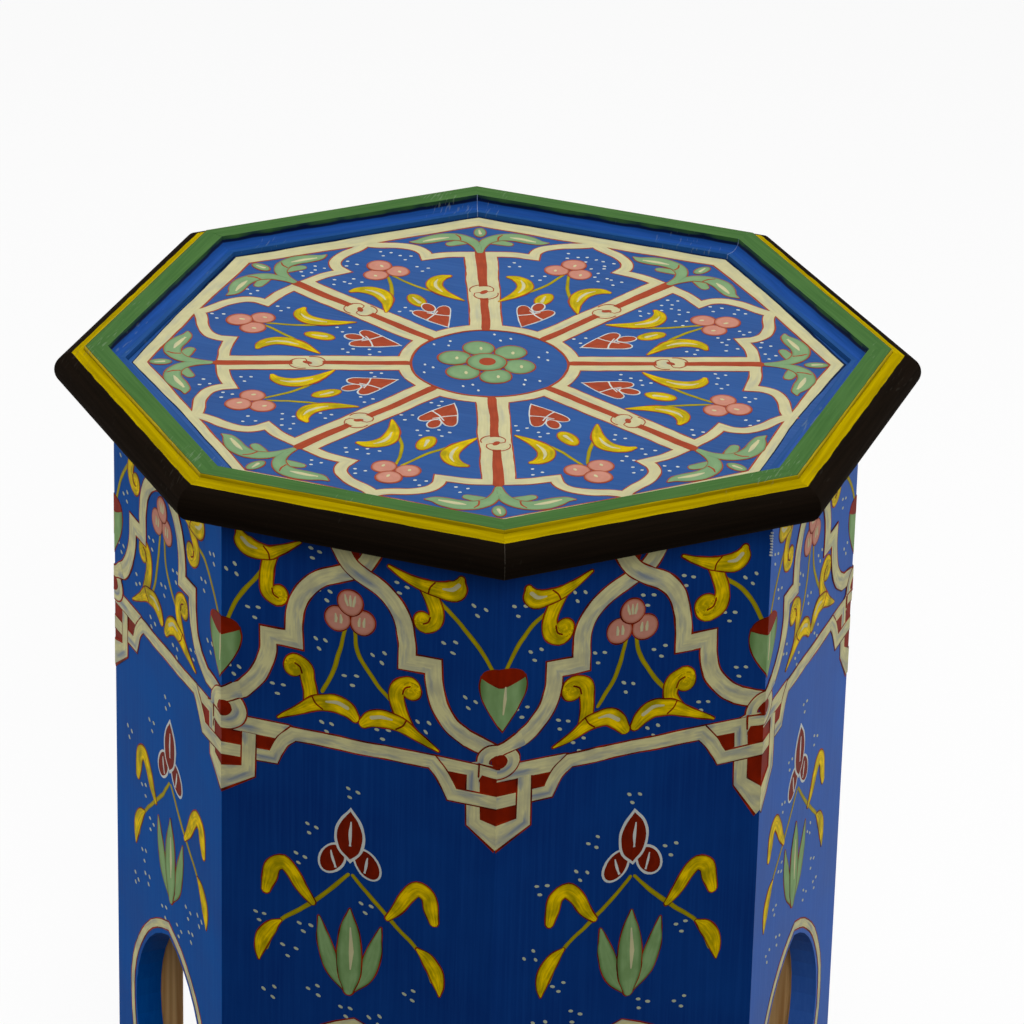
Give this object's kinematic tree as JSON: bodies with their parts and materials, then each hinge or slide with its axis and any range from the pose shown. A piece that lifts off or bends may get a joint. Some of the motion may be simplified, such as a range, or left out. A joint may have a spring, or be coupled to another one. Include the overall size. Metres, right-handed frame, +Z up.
{
  "type": "octagonal painted wood side table",
  "caption": "Octagonal wood side table with a recessed top in a moulded rim, mitred side boards with arched feet, and hand-painted floral ornament.",
  "frame": {"origin": "on the floor under the middle of the top", "axes": "+Z up; the flats of the octagon face +X, -X, +Y, -Y and the four diagonals between them"},
  "size_m": [0.4, 0.4, 0.52],
  "materials": {
    "blue_paint": "hand-brushed blue paint under satin varnish",
    "green_paint": "hand-brushed green paint under satin varnish",
    "black_paint": "black paint under satin varnish",
    "bare_pine": "planed bare softwood",
    "zinc_steel": "zinc plated"
  },
  "bodies": {
    "root": {"top_board": "blue_paint", "rim_rail_1": "green_paint", "rim_rail_2": "green_paint", "rim_rail_3": "green_paint", "rim_rail_4": "green_paint", "rim_rail_5": "green_paint", "rim_rail_6": "green_paint", "rim_rail_7": "green_paint", "rim_rail_8": "green_paint", "edge_moulding_1": "black_paint", "edge_moulding_2": "black_paint", "edge_moulding_3": "black_paint", "edge_moulding_4": "black_paint", "edge_moulding_5": "black_paint", "edge_moulding_6": "black_paint", "edge_moulding_7": "black_paint", "edge_moulding_8": "black_paint", "side_panel_1": "blue_paint", "side_panel_2": "blue_paint", "side_panel_3": "blue_paint", "side_panel_4": "blue_paint", "side_panel_5": "blue_paint", "side_panel_6": "blue_paint", "side_panel_7": "blue_paint", "side_panel_8": "blue_paint", "corner_block_1": "bare_pine", "corner_block_2": "bare_pine", "corner_block_3": "bare_pine", "corner_block_4": "bare_pine", "corner_block_5": "bare_pine", "corner_block_6": "bare_pine", "corner_block_7": "bare_pine", "corner_block_8": "bare_pine", "top_cleat_1": "bare_pine", "top_cleat_2": "bare_pine", "top_cleat_3": "bare_pine", "top_cleat_4": "bare_pine", "top_cleat_5": "bare_pine", "top_cleat_6": "bare_pine", "top_cleat_7": "bare_pine", "top_cleat_8": "bare_pine", "top_screw_1": "zinc_steel", "top_screw_2": "zinc_steel", "top_screw_3": "zinc_steel", "top_screw_4": "zinc_steel", "top_screw_5": "zinc_steel", "top_screw_6": "zinc_steel", "top_screw_7": "zinc_steel", "top_screw_8": "zinc_steel", "cleat_screw_1": "zinc_steel", "cleat_screw_2": "zinc_steel", "cleat_screw_3": "zinc_steel", "cleat_screw_4": "zinc_steel", "cleat_screw_5": "zinc_steel", "cleat_screw_6": "zinc_steel", "cleat_screw_7": "zinc_steel", "cleat_screw_8": "zinc_steel"}
  },
  "joints": []
}
